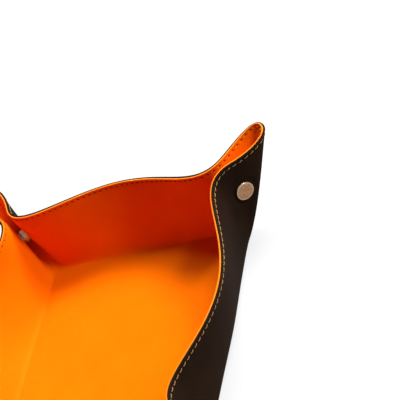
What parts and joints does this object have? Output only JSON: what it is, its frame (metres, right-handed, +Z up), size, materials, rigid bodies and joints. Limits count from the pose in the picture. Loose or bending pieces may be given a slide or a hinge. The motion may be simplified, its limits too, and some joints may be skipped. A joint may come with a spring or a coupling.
{
  "type": "valet tray",
  "caption": "Square leather valet tray with a bright lining, its corners pinched into ears by press studs, to hold pocket items.",
  "frame": {"origin": "middle of the flat underside, on the surface that the tray stands on", "axes": "+Z up out of the tray; +X and +Y square to two neighbouring walls, so the pictured ear is at +X, +Y"},
  "size_m": [0.2306, 0.2306, 0.0579],
  "materials": {
    "outer_leather": "smooth satin, fine grain",
    "lining_leather": "smooth satin",
    "outer_thread": "waxed twisted thread",
    "lining_thread": "waxed twisted thread",
    "press_stud_metal": "satin nickel",
    "spring_wire": "bright wire"
  },
  "bodies": {
    "sheet": {"outer_leather": "outer_leather", "lining_leather": "lining_leather", "outer_stitching": "outer_thread", "lining_stitching": "lining_thread"},
    "ne_cap_side": {"ne_cap": "press_stud_metal", "ne_socket": "press_stud_metal", "ne_spring": "spring_wire"},
    "ne_stud_side": {"ne_stud": "press_stud_metal", "ne_post": "press_stud_metal"},
    "nw_cap_side": {"nw_cap": "press_stud_metal", "nw_socket": "press_stud_metal", "nw_spring": "spring_wire"},
    "nw_stud_side": {"nw_stud": "press_stud_metal", "nw_post": "press_stud_metal"},
    "sw_cap_side": {"sw_cap": "press_stud_metal", "sw_socket": "press_stud_metal", "sw_spring": "spring_wire"},
    "sw_stud_side": {"sw_stud": "press_stud_metal", "sw_post": "press_stud_metal"},
    "se_cap_side": {"se_cap": "press_stud_metal", "se_socket": "press_stud_metal", "se_spring": "spring_wire"},
    "se_stud_side": {"se_stud": "press_stud_metal", "se_post": "press_stud_metal"}
  },
  "joints": [
    {"name": "ne_cap_side_open", "type": "hinge", "parent": "sheet", "child": "ne_cap_side", "pos_m": [0.10095, 0.10095, 0.03623], "axis": [0.4475, 0.4475, 0.7743], "range_deg": [0, 20], "deforming": ["outer_leather", "lining_leather", "outer_stitching", "lining_stitching", "ne_spring"]},
    {"name": "ne_stud_side_open", "type": "hinge", "parent": "sheet", "child": "ne_stud_side", "pos_m": [0.10095, 0.10095, 0.03623], "axis": [-0.4475, -0.4475, -0.7743], "range_deg": [0, 20], "deforming": ["outer_leather", "lining_leather", "outer_stitching", "lining_stitching", "ne_spring"]},
    {"name": "nw_cap_side_open", "type": "hinge", "parent": "sheet", "child": "nw_cap_side", "pos_m": [-0.10095, 0.10095, 0.03623], "axis": [-0.4475, 0.4475, 0.7743], "range_deg": [0, 20], "deforming": ["outer_leather", "lining_leather", "outer_stitching", "lining_stitching", "nw_spring"]},
    {"name": "nw_stud_side_open", "type": "hinge", "parent": "sheet", "child": "nw_stud_side", "pos_m": [-0.10095, 0.10095, 0.03623], "axis": [0.4475, -0.4475, -0.7743], "range_deg": [0, 20], "deforming": ["outer_leather", "lining_leather", "outer_stitching", "lining_stitching", "nw_spring"]},
    {"name": "sw_cap_side_open", "type": "hinge", "parent": "sheet", "child": "sw_cap_side", "pos_m": [-0.10095, -0.10095, 0.03623], "axis": [-0.4475, -0.4475, 0.7743], "range_deg": [0, 20], "deforming": ["outer_leather", "lining_leather", "outer_stitching", "lining_stitching", "sw_spring"]},
    {"name": "sw_stud_side_open", "type": "hinge", "parent": "sheet", "child": "sw_stud_side", "pos_m": [-0.10095, -0.10095, 0.03623], "axis": [0.4475, 0.4475, -0.7743], "range_deg": [0, 20], "deforming": ["outer_leather", "lining_leather", "outer_stitching", "lining_stitching", "sw_spring"]},
    {"name": "se_cap_side_open", "type": "hinge", "parent": "sheet", "child": "se_cap_side", "pos_m": [0.10095, -0.10095, 0.03623], "axis": [0.4475, -0.4475, 0.7743], "range_deg": [0, 20], "deforming": ["outer_leather", "lining_leather", "outer_stitching", "lining_stitching", "se_spring"]},
    {"name": "se_stud_side_open", "type": "hinge", "parent": "sheet", "child": "se_stud_side", "pos_m": [0.10095, -0.10095, 0.03623], "axis": [-0.4475, 0.4475, -0.7743], "range_deg": [0, 20], "deforming": ["outer_leather", "lining_leather", "outer_stitching", "lining_stitching", "se_spring"]}
  ],
  "couplings": [
    {"joint": "ne_stud_side_open", "follows": "ne_cap_side_open", "ratio": 1},
    {"joint": "nw_stud_side_open", "follows": "nw_cap_side_open", "ratio": 1},
    {"joint": "sw_stud_side_open", "follows": "sw_cap_side_open", "ratio": 1},
    {"joint": "se_stud_side_open", "follows": "se_cap_side_open", "ratio": 1}
  ]
}
